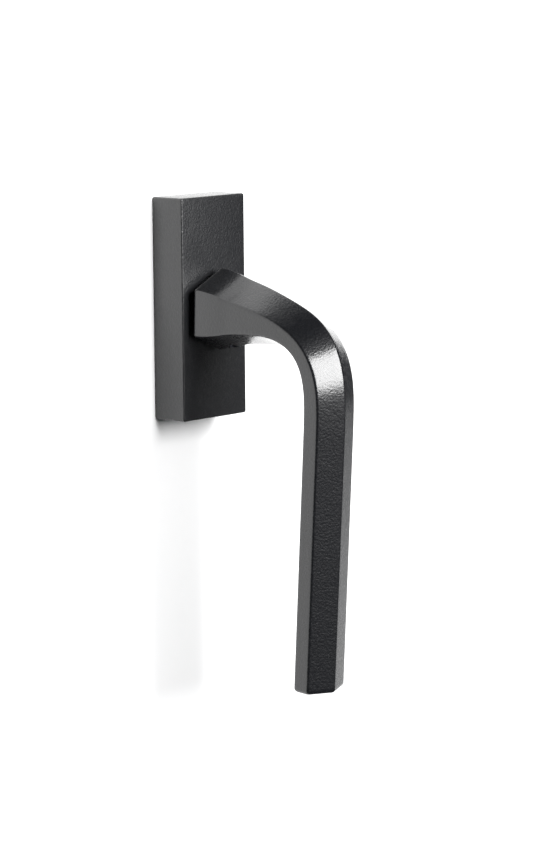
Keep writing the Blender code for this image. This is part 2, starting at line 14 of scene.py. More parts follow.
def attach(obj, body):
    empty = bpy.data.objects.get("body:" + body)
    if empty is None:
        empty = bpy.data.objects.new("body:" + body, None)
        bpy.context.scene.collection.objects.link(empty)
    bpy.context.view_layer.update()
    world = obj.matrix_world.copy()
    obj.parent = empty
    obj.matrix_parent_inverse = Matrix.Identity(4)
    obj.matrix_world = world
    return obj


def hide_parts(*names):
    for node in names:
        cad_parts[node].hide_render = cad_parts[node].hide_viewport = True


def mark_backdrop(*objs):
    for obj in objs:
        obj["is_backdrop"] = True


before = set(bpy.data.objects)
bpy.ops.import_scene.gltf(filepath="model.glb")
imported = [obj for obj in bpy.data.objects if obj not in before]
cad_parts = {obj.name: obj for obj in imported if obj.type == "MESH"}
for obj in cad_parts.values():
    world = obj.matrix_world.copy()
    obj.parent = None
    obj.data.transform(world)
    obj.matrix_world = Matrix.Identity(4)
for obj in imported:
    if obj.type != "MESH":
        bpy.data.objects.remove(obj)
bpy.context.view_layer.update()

MM = 0.001

# Rosette
ROSETTE_WIDTH = 28.5 * MM
ROSETTE_HEIGHT = 70.0 * MM
ROSETTE_DEPTH = 12.5 * MM
COVER_WALL = 1.5 * MM
COVER_CORNER = 0.8 * MM
COVER_EDGE = 0.5 * MM
COVER_HOLE_RADIUS = 10.2 * MM
RIB_LENGTH = 8.0 * MM
RIB_HEIGHT = 0.9 * MM
RIB_WIDTH = 0.8 * MM
RIB_RISE = 3.0 * MM
RIB_PLACE = 25.2 * MM

# Screws: both kinds are countersunk with a cross recess
SCREW_SPACING = 43.0 * MM
FIXING_HEAD_HEIGHT = 8.6 * MM
RETAINER_HEAD_HEIGHT = 10.1 * MM
RETAINER_X = 9.55 * MM
RETAINER_Z = 12.5 * MM
HEAD_LAND = 0.12 * MM  # taken off the head's sharp rim
FIXING_SCREW = {
    "Head Radius": 4.6 * MM, "Shank Radius": 2.5 * MM, "Length": 45.0 * MM, "Plain Length": 14.0 * MM,
    "Tip Taper": 0.83 * MM, "Thread Pitch": 0.8 * MM, "Thread Depth": 0.45 * MM,
    "Recess Span": 4.6 * MM, "Recess Depth": 2.0 * MM, "Sides": 24, "Rows": 340,
}
RETAINER_SCREW = {
    "Head Radius": 2.2 * MM, "Shank Radius": 1.25 * MM, "Length": 6.0 * MM, "Plain Length": 1.2 * MM,
    "Tip Taper": 0.3 * MM, "Thread Pitch": 0.45 * MM, "Thread Depth": 0.25 * MM,
    "Recess Span": 2.2 * MM, "Recess Depth": 0.7 * MM, "Sides": 20, "Rows": 80,
}

# Lever, measured in its plane of symmetry: the height above the sash first, then up
ROOT = Vector((14.4, -0.7)) * MM
NECK_END = Vector((27.4, -1.3)) * MM
GRIP_START = Vector((60.4, -28.7)) * MM
LEVER_DROP = 116.3 * MM
GRIP_TILT = math.radians(3.25)
BEND_REACH_OUT = 20.0 * MM
BEND_REACH_DOWN = 24.0 * MM
SECTION_EDGE = 1.1 * MM
END_EDGE = 1.4 * MM
COLLAR_RADIUS = 8.5 * MM
COLLAR_BACK = 11.0 * MM
COLLAR_OVERLAP = 2.0 * MM
SPINDLE_SOCKET = 7.3 * MM
SOCKET_FRONT = 27.7 * MM
SET_SCREW_HOLE_RADIUS = 2.2 * MM
SET_SCREW_HEIGHT = 21.0 * MM
SET_SCREW_HOLE_LENGTH = 20.0 * MM
GRIP_LENGTH = (LEVER_DROP + GRIP_START[1]) / math.cos(GRIP_TILT)

# Lever sections from the root to the grip. Each has its place on the path (0 root, 1 neck's end, 2 grip's
# start), half the width over the side flats, half the height of a side flat, and how far the top and the
# bottom ridge stand over the flats. Past the bend, top means the room side and bottom the sash side.
LEVER_SECTIONS = (
    (0.0, 12.0 * MM, 7.5 * MM, 6.1 * MM, 5.3 * MM),
    (0.5, 11.9 * MM, 6.7 * MM, 6.0 * MM, 4.5 * MM),
    (1.0, 11.3 * MM, 5.2 * MM, 5.9 * MM, 4.1 * MM),
    (1.3, 10.5 * MM, 2.9 * MM, 5.0 * MM, 4.2 * MM),
    (1.6, 9.6 * MM, 2.3 * MM, 5.0 * MM, 4.7 * MM),
    (2.0, 8.6 * MM, 2.85 * MM, 3.7 * MM, 3.7 * MM),
)

# Fineness of the meshes
RIM_STEPS = 6  # rings in each rounded end of the lever
NECK_STEPS = 12
BEND_STEPS = 72
GRIP_STEPS = 16
CORNER_STEPS = 7
OUTLINE_STEPS = 8
FRONT_EDGE_STEPS = 5
WIDE_SIDES = 96  # sides of the collar and of the cover's hole
HOLE_SIDES = 48
LONGEST_EDGE = 3.0 * MM
SMOOTH_UP_TO = math.radians(30)
THREAD_SMOOTH_UP_TO = math.radians(40)

PAST = 1.0 * MM  # how far a cutter runs past the face it opens
WELD = 0.005 * MM  # points closer than this are one point
SAME_FACE = 0.1 * MM  # points of a block closer in depth than this are on one face
EASE_REACH = 0.12  # of a stage of the path, over which its curves run together
LINEAR_TOE = 0.04045  # where the sRGB curve leaves its straight part
NOISE_LOW, NOISE_HIGH = 0.3, 0.7  # nearly all of a noise's values lie between these

# Studio, in metres and watts; a sheet's bounds are left, low, right and high
SOFT_BOX = 1.0
LIGHT_DISTANCE = 1.6
LIGHT_AIM = (0, 0, -0.03)
KEY_POWER = 61.0
REAR_POWER = 30.0
WALL = (-1.0, -0.9, 0.185, 0.13)
WALL_BEHIND_SASH_FACE = 0.2 * MM
FLOOR = (0.45, -0.35, 1.9, 0.3)
FLOOR_HEIGHT = -0.3
AMBIENT = 0.15

# Camera: where it stands and what it looks at, to the right of and below the origin
VIEW_AZIMUTH = math.radians(-47.347)
VIEW_ELEVATION = math.radians(8.511)
VIEW_ROLL = math.radians(-0.506)
VIEW_DISTANCE = 1.0
AIM_RIGHT = 25.58  # in millimetres, as the three below
AIM_BELOW = 37.07
FOCAL_LENGTH = 134.9
SENSOR_WIDTH = 36.0


# ---------------------------------------------------------------- nodes


def node(tree, kind, inputs=None, **settings):
    """Adds one node with its settings. An input is given a value, or a socket to be linked from."""
    made = tree.nodes.new(kind)
    for name, value in settings.items():
        setattr(made, name, value)
    for socket, value in (inputs or {}).items():
        if isinstance(value, bpy.types.NodeSocket):
            tree.links.new(value, made.inputs[socket])
        else:
            made.inputs[socket].default_value = value
    return made


def linear(code):
    """An sRGB hex colour as linear RGBA."""
    parts = [int(code[start:start + 2], 16) / 255 for start in (1, 3, 5)]
    return (*[((part + 0.055) / 1.055) ** 2.4 if part > LINEAR_TOE else part / 12.92 for part in parts], 1.0)


def object_space(tree):
    """Object coordinates, which are metres here."""
    return node(tree, "ShaderNodeTexCoord").outputs["Object"]


def noise(tree, place, size, detail, **more):
    """Noise whose features are about as wide as size."""
    inputs = {"Vector": place, "Scale": 1 / size, "Detail": detail, **more}
    return node(tree, "ShaderNodeTexNoise", inputs).outputs["Fac"]


# ---------------------------------------------------------------- finishes


def finish_material(name, colour, metallic, roughness, **gloss):
    """A Principled material with its constant values on the shader's own sockets."""
    material = bpy.data.materials.new(name)
    material.use_nodes = True
    shader = material.node_tree.nodes["Principled BSDF"]
    shader.inputs["Base Color"].default_value = linear(colour)
    shader.inputs["Metallic"].default_value = metallic
    shader.inputs["Roughness"].default_value = roughness
    for socket, value in gloss.items():
        shader.inputs[socket.replace("_", " ")].default_value = value
    material.diffuse_color = linear(colour)
    return material, material.node_tree, shader


def vary_colour(tree, shader, pattern, start, dark, end, pale):
    """Runs the base colour from dark to pale while the pattern goes from start to end."""
    tone = node(tree, "ShaderNodeValToRGB", {"Fac": pattern})
    for element, position, colour in zip(tone.color_ramp.elements, (start, end), (dark, pale)):
        element.position = position
        element.color = colour
    tree.links.new(tone.outputs["Color"], shader.inputs["Base Color"])


def vary_roughness(tree, shader, pattern, smooth, rough):
    """Runs the roughness from smooth to rough over the pattern's values."""
    shine = node(tree, "ShaderNodeMapRange", {0: pattern, 1: NOISE_LOW, 2: NOISE_HIGH, 3: smooth, 4: rough})
    tree.links.new(shine.outputs[0], shader.inputs["Roughness"])


def add_relief(tree, shader, height, strength, depth, socket="Normal"):
    """Relief that is depth high where the pattern goes from 0 to 1."""
    bump = node(tree, "ShaderNodeBump", {"Height": height, "Strength": strength, "Distance": depth})
    tree.links.new(bump.outputs[0], shader.inputs[socket])


def powder_coat(name, colour, roughness, base_gloss, coat_weight, coat_roughness):
    """Semi-matt polyester powder coat, baked on metal. The melted grains leave a fine orange peel that breaks
    highlights into a soft sparkle, and the pigment is a very dark neutral grey rather than pure black."""
    material, tree, shader = finish_material(name, colour, 0.0, roughness, IOR=1.5, Coat_Weight=coat_weight,
                                             Coat_Roughness=coat_roughness, Specular_IOR_Level=base_gloss)
    place = object_space(tree)
    # orange peel is 0.7 mm from crest to crest, and the coat flows over 6 mm before it gels
    peel = noise(tree, place, 0.7 * MM, 3.0, Roughness=0.6)
    flow = noise(tree, place, 6.0 * MM, 2.0)
    height = node(tree, "ShaderNodeMath", {0: flow, 1: 0.6, 2: peel}, operation="MULTIPLY_ADD").outputs[0]
    # the clear skin on top has flowed out smoother than the pigment grains under it
    add_relief(tree, shader, height, 1.0, 0.16 * MM)
    add_relief(tree, shader, height, 1.0, 0.045 * MM, "Coat Normal")
    vary_roughness(tree, shader, peel, roughness - 0.04, roughness + 0.06)
    # pigment specks, a little paler, 0.5 mm apart
    speck = noise(tree, place, 0.5 * MM, 1.0)
    dark, pale = ([part * share for part in linear(colour)[:3]] + [1.0] for share in (0.85, 1.3))
    vary_colour(tree, shader, speck, 0.35, dark, 0.75, pale)
    return material


def zinc_casting():
    """Bare pressure-cast zinc alloy. The skin is dull grey with darker flow marks and a faint grain from the
    die's surface."""
    material, tree, shader = finish_material("cast_zinc_alloy", "#a9acb0", 1.0, 0.45)
    place = object_space(tree)
    # flow marks are about 5 mm wide
    flow = noise(tree, place, 5.0 * MM, 4.0, Distortion=1.2)
    vary_colour(tree, shader, flow, 0.3, linear("#8d9094"), 0.7, linear("#b4b7bb"))
    # the die's eroded skin leaves a grain of 0.25 mm
    add_relief(tree, shader, noise(tree, place, 0.25 * MM, 2.0), 0.3, 0.02 * MM)
    vary_roughness(tree, shader, flow, 0.38, 0.56)
    return material


def zinc_plate():
    """Bright zinc plating on steel screws and pressings. It is light and bluish, with a faint straw and blue
    drift from the passivation bath."""
    material, tree, shader = finish_material("zinc_plated_steel", "#ccd0d6", 1.0, 0.26)
    place = object_space(tree)
    # the passivation's tint drifts over about 4 mm
    drift = noise(tree, place, 4.0 * MM, 2.0)
    vary_colour(tree, shader, drift, 0.35, linear("#c3cad6"), 0.68, linear("#d6d4c8"))
    # plating grain of 0.1 mm
    vary_roughness(tree, shader, noise(tree, place, 0.1 * MM, 1.0), 0.2, 0.34)
    return material


def drawn_steel():
    """Cold-drawn square bar, lightly plated. The die leaves fine straight lines along the bar, which stretch
    its highlights across it."""
    material, tree, shader = finish_material("cold_drawn_steel", "#b9bbbe", 1.0, 0.32)
    # draw lines are 0.15 mm apart and run along the spindle, 60 times longer than wide
    stretched = node(tree, "ShaderNodeMapping", {"Vector": object_space(tree), "Scale": (1.0, 1 / 60, 1.0)})
    lines = noise(tree, stretched.outputs[0], 0.15 * MM, 3.0)
    vary_colour(tree, shader, lines, 0.3, linear("#a7a9ad"), 0.7, linear("#c4c6c9"))
    add_relief(tree, shader, lines, 0.3, 0.01 * MM)
    vary_roughness(tree, shader, lines, 0.26, 0.42)
    return material


def bearing_steel():
    """Ground and polished chromium steel. It mirrors its surroundings, with only faint lapping marks."""
    material, tree, shader = finish_material("polished_bearing_steel", "#d4d5d8", 1.0, 0.1)
    # lapping marks are 0.2 mm long
    vary_roughness(tree, shader, noise(tree, object_space(tree), 0.2 * MM, 2.0), 0.06, 0.16)
    return material


def spring_steel():
    """Oiled carbon spring steel. Heat treatment leaves it a dark grey-brown, shinier where the oil lies."""
    material, tree, shader = finish_material("oiled_spring_steel", "#7d7a76", 1.0, 0.33)
    # heat tint and oil change over about 1.5 mm
    heat = noise(tree, object_space(tree), 1.5 * MM, 3.0)
    vary_colour(tree, shader, heat, 0.32, linear("#5f5a55"), 0.7, linear("#8b8985"))
    vary_roughness(tree, shader, heat, 0.24, 0.42)
    return material


def moulded_plastic(name, pale, dark, roughness, grain_size, depth):
    """An injection-moulded bearing plastic. The mould's spark-eroded skin gives a fine even grain and a soft,
    waxy gloss."""
    material, tree, shader = finish_material(name, pale, 0.0, roughness, IOR=1.5)
    grain = noise(tree, object_space(tree), grain_size, 2.0)
    vary_colour(tree, shader, grain, 0.0, linear(dark), 1.0, linear(pale))
    add_relief(tree, shader, grain, 0.3, depth)
    vary_roughness(tree, shader, grain, roughness - 0.06, roughness + 0.08)
    return material


def black_oxide():
    """Black oxide on a hardened grub screw. It is a thin blue-black film over metal, rubbed a little paler in
    patches."""
    material, tree, shader = finish_material("black_oxide_steel", "#3b3c40", 1.0, 0.42)
    # rubbed patches are about 1 mm across
    rub = noise(tree, object_space(tree), 1.0 * MM, 4.0)
    vary_colour(tree, shader, rub, 0.4, linear("#323338"), 0.8, linear("#55565a"))
    vary_roughness(tree, shader, rub, 0.34, 0.52)
    return material


# the lever carries a full clear skin, the cover a thinner and duller one
LEVER_COAT = powder_coat("black_powder_coat_lever", "#0d0e11", 0.4, 0.2, 1.0, 0.16)
COVER_COAT = powder_coat("black_powder_coat_cover", "#0d0e11", 0.42, 0.45, 0.6, 0.2)
CAST_ZINC = zinc_casting()
ZINC_PLATE = zinc_plate()
DRAWN_STEEL = drawn_steel()
BEARING_STEEL = bearing_steel()
SPRING_STEEL = spring_steel()
BLACK_OXIDE = black_oxide()
# glass-filled nylon 6, with a grain of 0.15 mm
BLACK_NYLON = moulded_plastic("black_glass_filled_nylon", "#28292b", "#1b1b1d", 0.5, 0.15 * MM, 0.01 * MM)
# natural acetal: milky and slippery, with a grain of 0.2 mm
WHITE_ACETAL = moulded_plastic("natural_acetal", "#eceae2", "#dfddd3", 0.36, 0.2 * MM, 0.006 * MM)


# ---------------------------------------------------------------- mesh helpers


def mesh_object(name, shape):
    """The bmesh as an object at the origin."""
    mesh = bpy.data.meshes.new(name)
    shape.to_mesh(mesh)
    shape.free()
    obj = bpy.data.objects.new(name, mesh)
    bpy.context.scene.collection.objects.link(obj)
    return obj


def applied(obj):
    """Turns the object's modifiers into plain mesh, which all its later steps work on."""
    bpy.context.view_layer.update()
    made = bpy.data.meshes.new_from_object(obj.evaluated_get(bpy.context.evaluated_depsgraph_get()))
    obj.modifiers.clear()
    old = obj.data
    obj.data = made
    if old.users == 0 and isinstance(old, bpy.types.Mesh):
        bpy.data.meshes.remove(old)
    return obj


def combine(target, operation, *tools):
    """Adds tools to the target or cuts them from it, and removes them."""
    for tool in tools:
        modifier = target.modifiers.new(operation.lower(), "BOOLEAN")
        modifier.operation = operation
        modifier.solver = "EXACT"
        modifier.object = tool
    applied(target)
    for tool in tools:
        bpy.data.objects.remove(tool)


def tidy(obj, smooth_up_to=SMOOTH_UP_TO):
    """Welds doubles, turns faces outwards and shades smooth up to the given angle."""
    shape = bmesh.new()
    shape.from_mesh(obj.data)
    bmesh.ops.remove_doubles(shape, verts=shape.verts, dist=WELD)
    bmesh.ops.dissolve_degenerate(shape, dist=WELD / 5, edges=shape.edges)
    bmesh.ops.recalc_face_normals(shape, faces=shape.faces)
    shape.to_mesh(obj.data)
    shape.free()
    obj.data.shade_smooth()
    obj.data.set_sharp_from_angle(angle=smooth_up_to)
    return obj


def divide_long(obj):
    """Splits long edges, so that a cut only changes the shading close to it."""
    shape = bmesh.new()
    shape.from_mesh(obj.data)
    long = [edge for edge in shape.edges if LONGEST_EDGE < edge.calc_length() and edge.is_manifold]
    bmesh.ops.subdivide_edges(shape, edges=long, cuts=3, use_grid_fill=True)
    shape.to_mesh(obj.data)
    shape.free()


def piece(obj, name, material, body, slot, *replaced):
    """Names the finished mesh, gives it its finish and its body, and hides the CAD parts it stands for."""
    obj.name = name
    obj.data.name = name
    obj.data.materials.clear()
    obj.data.materials.append(material)
    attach(obj, body)
    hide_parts(*replaced)
    return obj


def block(name, low, high, corner=0.0, front_edge=0.0):
    """A box between two corners, given as (x, height, up), with rounded corners round the outline and rounded
    front edges where asked."""
    shape = bmesh.new()
    bmesh.ops.create_cube(shape, size=1.0)
    size = [high[axis] - low[axis] for axis in range(3)]
    middle = [(high[axis] + low[axis]) / 2 for axis in range(3)]
    bmesh.ops.scale(shape, vec=size, verts=shape.verts)
    bmesh.ops.translate(shape, vec=middle, verts=shape.verts)
    if corner:
        upright = [edge for edge in shape.edges if abs(edge.verts[0].co.y - edge.verts[1].co.y) > SAME_FACE]
        bmesh.ops.bevel(shape, geom=upright, offset=corner, segments=OUTLINE_STEPS, affect="EDGES",
                        profile=0.5)
    if front_edge:
        rim = [edge for edge in shape.edges if all(vert.co.y > high[1] - SAME_FACE for vert in edge.verts)]
        bmesh.ops.bevel(shape, geom=rim, offset=front_edge, segments=FRONT_EDGE_STEPS, affect="EDGES",
                        profile=0.5)
    for vert in shape.verts:
        vert.co.y = -vert.co.y
    bmesh.ops.reverse_faces(shape, faces=shape.faces)
    return mesh_object(name, shape)


def rod(name, radius, low, high, sides, axis=(0, -1, 0), centre=(0, 0, 0)):
    """A round bar from low to high along an axis through centre."""
    shape = bmesh.new()
    bmesh.ops.create_cone(
        shape, cap_ends=True, segments=sides, radius1=radius, radius2=radius, depth=high - low
    )
    turn = Vector((0, 0, 1)).rotation_difference(Vector(axis)).to_matrix().to_4x4()
    shape.transform(Matrix.Translation(centre) @ turn @ Matrix.Translation((0, 0, (low + high) / 2)))
    return mesh_object(name, shape)


# ---------------------------------------------------------------- Geometry Nodes


def new_tree(name, sizes):
    """A Geometry Nodes tree with a mesh in, a mesh out and one named input for each size and finish."""
    tree = bpy.data.node_groups.new(name, "GeometryNodeTree")
    tree.interface.new_socket("Geometry", in_out="OUTPUT", socket_type="NodeSocketGeometry")
    tree.interface.new_socket("Geometry", in_out="INPUT", socket_type="NodeSocketGeometry")
    for size, kind in sizes.items():
        tree.interface.new_socket(size, in_out="INPUT", socket_type=f"NodeSocket{kind}")
    return tree, node(tree, "NodeGroupInput").outputs


def grow(obj, tree, values):
    """Runs the tree on the object with the given inputs and keeps the result as a plain mesh."""
    modifier = obj.modifiers.new(tree.name, "NODES")
    modifier.node_group = tree
    for item in tree.interface.items_tree:
        if item.in_out == "INPUT" and item.name in values:
            modifier[item.identifier] = values[item.name]
    return applied(obj)


def math_of(tree, operation, *values):
    """One Math node's result, of up to three values or sockets."""
    return node(tree, "ShaderNodeMath", dict(enumerate(values)), operation=operation).outputs[0]


def welded(tree, mesh):
    """The mesh with its doubled points made one."""
    return node(tree, "GeometryNodeMergeByDistance", {"Geometry": mesh, "Distance": WELD}).outputs[0]


def row_and_column(tree, index, columns):
    """The row and the column of each point of a grid, counted from 0."""
    row = math_of(tree, "FLOOR", math_of(tree, "DIVIDE", math_of(tree, "ADD", index, 0.5), columns))
    return row, math_of(tree, "SUBTRACT", index, math_of(tree, "MULTIPLY", row, columns))


def closed_ends(tree, grid, centre):
    """Closes both open ends of a tube: its rims are drawn in to the point that centre gives."""
    rim = node(tree, "GeometryNodeInputMeshEdgeNeighbors").outputs[0]
    is_rim = node(tree, "FunctionNodeCompare", {2: rim, 3: 1}, data_type="INT", operation="EQUAL").outputs[0]
    lid = node(tree, "GeometryNodeExtrudeMesh", {"Mesh": grid, "Selection": is_rim, "Offset Scale": 0.0},
               mode="EDGES")
    drawn = node(tree, "GeometryNodeSetPosition", {"Geometry": lid.outputs["Mesh"],
                                                   "Selection": lid.outputs["Top"], "Position": centre})
    return welded(tree, drawn.outputs[0])


def end_tree(tree, geometry, finish):
    """The tree's last nodes: real mesh, one finish, and out."""
    real = node(tree, "GeometryNodeRealizeInstances", {"Geometry": geometry})
    coated = node(tree, "GeometryNodeSetMaterial", {"Geometry": real.outputs[0], "Material": finish})
    node(tree, "NodeGroupOutput", {0: coated.outputs[0]})


def hexagonal_bar_tree():
    """A flattened hexagonal bar swept along a line of points. Each point holds its section: half the width,
    the heights of the side flats' ends and of both ridges, and the direction of the section's height."""
    tree, given = new_tree("hexagonal_bar", {"Corner Radius": "Float", "Corner Steps": "Int",
                                             "Finish": "Material"})
    path = given["Geometry"]
    index = node(tree, "GeometryNodeInputIndex").outputs[0]
    corner_of_ring = math_of(tree, "MODULO", index, 6)
    ring = math_of(tree, "FLOOR", math_of(tree, "DIVIDE", index, 6))

    def sampled(name, at, kind="FLOAT"):
        """The path's attribute at one of its points."""
        if name == "position":
            value = node(tree, "GeometryNodeInputPosition").outputs[0]
        else:
            value = node(tree, "GeometryNodeInputNamedAttribute", {"Name": name}, data_type=kind).outputs[0]
        return node(tree, "GeometryNodeSampleIndex", {"Geometry": path, "Value": value, "Index": at},
                    data_type=kind).outputs[0]

    # six points for each point of the path, then moved to the section's corners
    hexagon = node(tree, "GeometryNodeCurvePrimitiveCircle", {"Resolution": 6, "Radius": 1.0}, mode="RADIUS")
    rings = node(tree, "GeometryNodeInstanceOnPoints", {"Points": path, "Instance": hexagon.outputs[0]})
    rings = node(tree, "GeometryNodeRealizeInstances", {"Geometry": rings.outputs[0]}).outputs[0]
    # corners stand at 30 degrees and every 60 on: a ridge has a sine of 1 and a flat's end one of 0.5
    angle = math_of(tree, "MULTIPLY_ADD", corner_of_ring, math.pi / 3, math.pi / 6)
    across = math_of(tree, "MULTIPLY", math_of(tree, "COSINE", angle), 2 / math.sqrt(3))
    rise = math_of(tree, "SINE", angle)
    is_top = math_of(tree, "GREATER_THAN", rise, 0.0)
    is_ridge = math_of(tree, "GREATER_THAN", math_of(tree, "ABSOLUTE", rise), 0.75)

    def chosen(fac, low, high):
        """Low where fac is 0 and high where it is 1."""
        return node(tree, "ShaderNodeMix", {0: fac, 2: low, 3: high}, data_type="FLOAT").outputs[0]

    heights = [
        chosen(is_ridge, sampled(f"{side}_flat", ring), sampled(f"{side}_ridge", ring))
        for side in ("bottom", "top")
    ]
    height = chosen(is_top, *heights)
    side = math_of(tree, "MULTIPLY", across, sampled("half_width", ring))
    lift = node(tree, "ShaderNodeVectorMath", {0: sampled("rise_way", ring, "FLOAT_VECTOR"), "Scale": height},
                operation="SCALE").outputs[0]
    shift = node(tree, "ShaderNodeCombineXYZ", {"X": side}).outputs[0]
    place = sampled("position", ring, "FLOAT_VECTOR")
    for move in (lift, shift):
        place = node(tree, "ShaderNodeVectorMath", {0: place, 1: move}, operation="ADD").outputs[0]
    rings = node(tree, "GeometryNodeSetPosition", {"Geometry": rings, "Position": place}).outputs[0]
    rounded = node(tree, "GeometryNodeFilletCurve", {"Curve": rings, "Radius": given["Corner Radius"],
                                                     "Count": given["Corner Steps"]}, mode="POLY")
    outline = node(tree, "GeometryNodeCurveToMesh", {"Curve": rounded.outputs[0]}).outputs[0]

    # a grid with one row for each ring, laid on the rounded rings
    count = node(tree, "GeometryNodeAttributeDomainSize", {"Geometry": path}).outputs["Point Count"]
    points = node(tree, "GeometryNodeAttributeDomainSize", {"Geometry": outline}).outputs["Point Count"]
    around = math_of(tree, "DIVIDE", points, count)
    columns = math_of(tree, "ADD", around, 1.0)
    grid = node(tree, "GeometryNodeMeshGrid", {"Vertices X": count, "Vertices Y": columns}).outputs[0]
    row, column = row_and_column(tree, index, columns)
    source = math_of(tree, "MULTIPLY_ADD", row, around, math_of(tree, "MODULO", column, around))
    own_place = node(tree, "GeometryNodeInputPosition").outputs[0]
    spot = node(tree, "GeometryNodeSampleIndex", {"Geometry": outline, "Value": own_place, "Index": source},
                data_type="FLOAT_VECTOR").outputs[0]
    kept_row = node(tree, "GeometryNodeStoreNamedAttribute", {"Geometry": grid, "Name": "row", "Value": row},
                    data_type="FLOAT", domain="POINT").outputs[0]
    skin = node(tree, "GeometryNodeSetPosition", {"Geometry": kept_row, "Position": spot}).outputs[0]
    own_row = node(tree, "GeometryNodeInputNamedAttribute", {"Name": "row"}, data_type="FLOAT").outputs[0]
    bar = closed_ends(tree, welded(tree, skin), sampled("position", own_row, "FLOAT_VECTOR"))
    end_tree(tree, bar, given["Finish"])
    return tree


def countersunk_screw_tree():
    """A countersunk screw with a rolled thread and a cross recess, set at each point with its head to the
    room. It is a grid rolled up round the axis, with a radius that follows head, thread and tip."""
    tree, given = new_tree("countersunk_screw", {
        "Head Radius": "Float", "Shank Radius": "Float", "Length": "Float", "Plain Length": "Float",
        "Tip Taper": "Float", "Thread Pitch": "Float", "Thread Depth": "Float", "Recess Span": "Float",
        "Recess Depth": "Float", "Sides": "Int", "Rows": "Int", "Finish": "Material"})
    index = node(tree, "GeometryNodeInputIndex").outputs[0]
    columns = math_of(tree, "ADD", given["Sides"], 1.0)
    row, column = row_and_column(tree, index, columns)
    turn = math_of(tree, "DIVIDE", column, given["Sides"])
    last_row = math_of(tree, "SUBTRACT", given["Rows"], 1.0)
    depth = math_of(tree, "MULTIPLY", math_of(tree, "DIVIDE", row, last_row), given["Length"])
    # the thread is a triangular wave that climbs one pitch each turn, and fades in after the plain length
    climbed = math_of(tree, "DIVIDE", depth, given["Thread Pitch"])
    phase = math_of(tree, "FRACT", math_of(tree, "SUBTRACT", climbed, turn))
    wave = math_of(tree, "ABSOLUTE", math_of(tree, "MULTIPLY_ADD", phase, 2.0, -1.0))
    runout = math_of(tree, "DIVIDE", math_of(tree, "SUBTRACT", depth, given["Plain Length"]),
                     given["Thread Pitch"])
    fade = node(tree, "ShaderNodeClamp", {"Value": runout}).outputs[0]
    groove = math_of(tree, "MULTIPLY", math_of(tree, "MULTIPLY", wave, fade), given["Thread Depth"])
    shank = math_of(tree, "SUBTRACT", given["Shank Radius"], groove)
    land = math_of(tree, "SUBTRACT", given["Head Radius"], HEAD_LAND)
    cone = math_of(tree, "MINIMUM", math_of(tree, "SUBTRACT", given["Head Radius"], depth), land)
    left = math_of(tree, "SUBTRACT", given["Length"], depth)
    tip_radius = math_of(tree, "SUBTRACT", given["Shank Radius"], given["Tip Taper"])
    tip = math_of(tree, "ADD", tip_radius, left)
    radius = math_of(tree, "MINIMUM", math_of(tree, "MAXIMUM", shank, cone), tip)
    angle = math_of(tree, "MULTIPLY", turn, 2 * math.pi)
    x = math_of(tree, "MULTIPLY", radius, math_of(tree, "COSINE", angle))
    z = math_of(tree, "MULTIPLY", radius, math_of(tree, "SINE", angle))
    spot = node(tree, "ShaderNodeCombineXYZ", {"X": x, "Y": depth, "Z": z}).outputs[0]
    grid = node(tree, "GeometryNodeMeshGrid", {"Vertices X": given["Rows"], "Vertices Y": columns}).outputs[0]
    skin = node(tree, "GeometryNodeSetPosition", {"Geometry": grid, "Position": spot}).outputs[0]
    own_place = node(tree, "ShaderNodeSeparateXYZ", {0: node(tree, "GeometryNodeInputPosition").outputs[0]})
    on_axis = node(tree, "ShaderNodeCombineXYZ", {"Y": own_place.outputs["Y"]}).outputs[0]
    screw = closed_ends(tree, welded(tree, skin), on_axis)
    # the cross recess is cut by two bars
    thin = math_of(tree, "DIVIDE", given["Recess Span"], 4.0)
    twice_depth = math_of(tree, "MULTIPLY", given["Recess Depth"], 2.0)
    bars = []
    for size in ({"X": given["Recess Span"], "Z": thin}, {"X": thin, "Z": given["Recess Span"]}):
        bar_size = node(tree, "ShaderNodeCombineXYZ", {**size, "Y": twice_depth}).outputs[0]
        bars.append(node(tree, "GeometryNodeMeshCube", {"Size": bar_size}).outputs[0])
    cutter = node(tree, "GeometryNodeMeshBoolean", operation="UNION", solver="EXACT")
    cut = node(tree, "GeometryNodeMeshBoolean", {"Mesh 1": screw}, operation="DIFFERENCE", solver="EXACT")
    for bar in bars:
        tree.links.new(bar, cutter.inputs["Mesh 2"])
    tree.links.new(cutter.outputs["Mesh"], cut.inputs["Mesh 2"])
    placed = node(tree, "GeometryNodeInstanceOnPoints", {"Points": given["Geometry"],
                                                         "Instance": cut.outputs["Mesh"]})
    end_tree(tree, placed.outputs[0], given["Finish"])
    return tree


# ---------------------------------------------------------------- lever


def lever_path(place):
    """Point and direction, as (height, up), at a place: 0 root, 1 neck's end, 2 grip's start, 3 its end."""
    outward = (NECK_END - ROOT).normalized()
    downward = Vector((-math.sin(GRIP_TILT), -math.cos(GRIP_TILT)))
    if place <= 1:
        return ROOT.lerp(NECK_END, place), outward
    if place <= 2:
        along, left = place - 1, 2 - place
        first = NECK_END + outward * BEND_REACH_OUT
        second = GRIP_START - downward * BEND_REACH_DOWN
        point = (NECK_END * left**3 + first * 3 * along * left**2
                 + second * 3 * along**2 * left + GRIP_START * along**3)
        slope = ((first - NECK_END) * left**2 + (second - first) * 2 * along * left
                 + (GRIP_START - second) * along**2)
        return point, slope.normalized()
    return GRIP_START + downward * GRIP_LENGTH * (place - 2), downward


def lever_line(place):
    """Height, up and both parts of the direction at a place, in one row."""
    point, direction = lever_path(place)
    return [*point, *direction]


